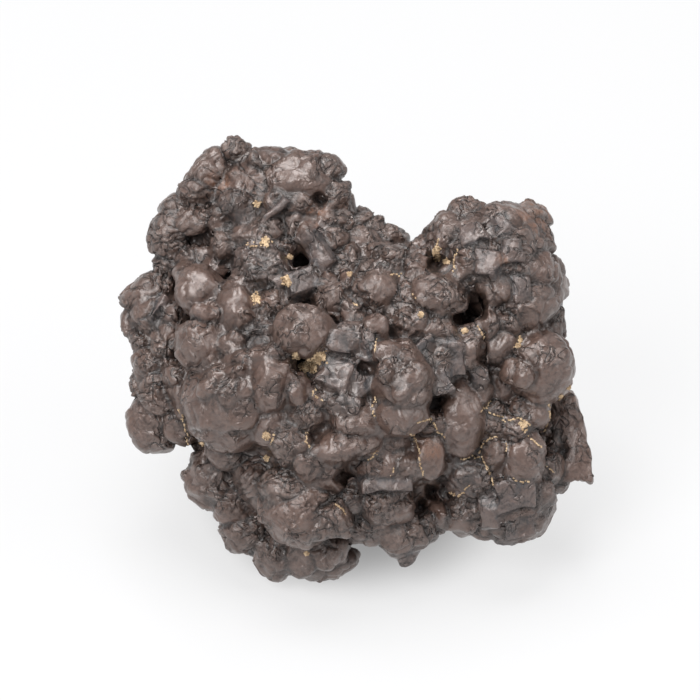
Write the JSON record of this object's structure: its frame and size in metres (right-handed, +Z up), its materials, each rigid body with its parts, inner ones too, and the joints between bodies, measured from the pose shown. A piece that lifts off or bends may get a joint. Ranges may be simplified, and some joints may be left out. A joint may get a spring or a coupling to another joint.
{
  "type": "prophecy stone",
  "caption": "Fist-sized dark brown iron-oxide concretion of knobs, ribs and small cubes grown together, lying free on worn flats.",
  "frame": {"origin": "middle of the bounding box's bottom, on the ground that the stone lies on", "axes": "+Z up, +X to the right seen from the knobbly face, -Y towards the viewer of that face"},
  "size_m": [0.1, 0.08, 0.0778],
  "materials": {
    "iron_stone": "dark brown, semi-gloss, waxy, finely wrinkled, with grey-blue glints and sand in the seams"
  },
  "bodies": {
    "root": {"stone": "iron_stone"}
  },
  "joints": []
}
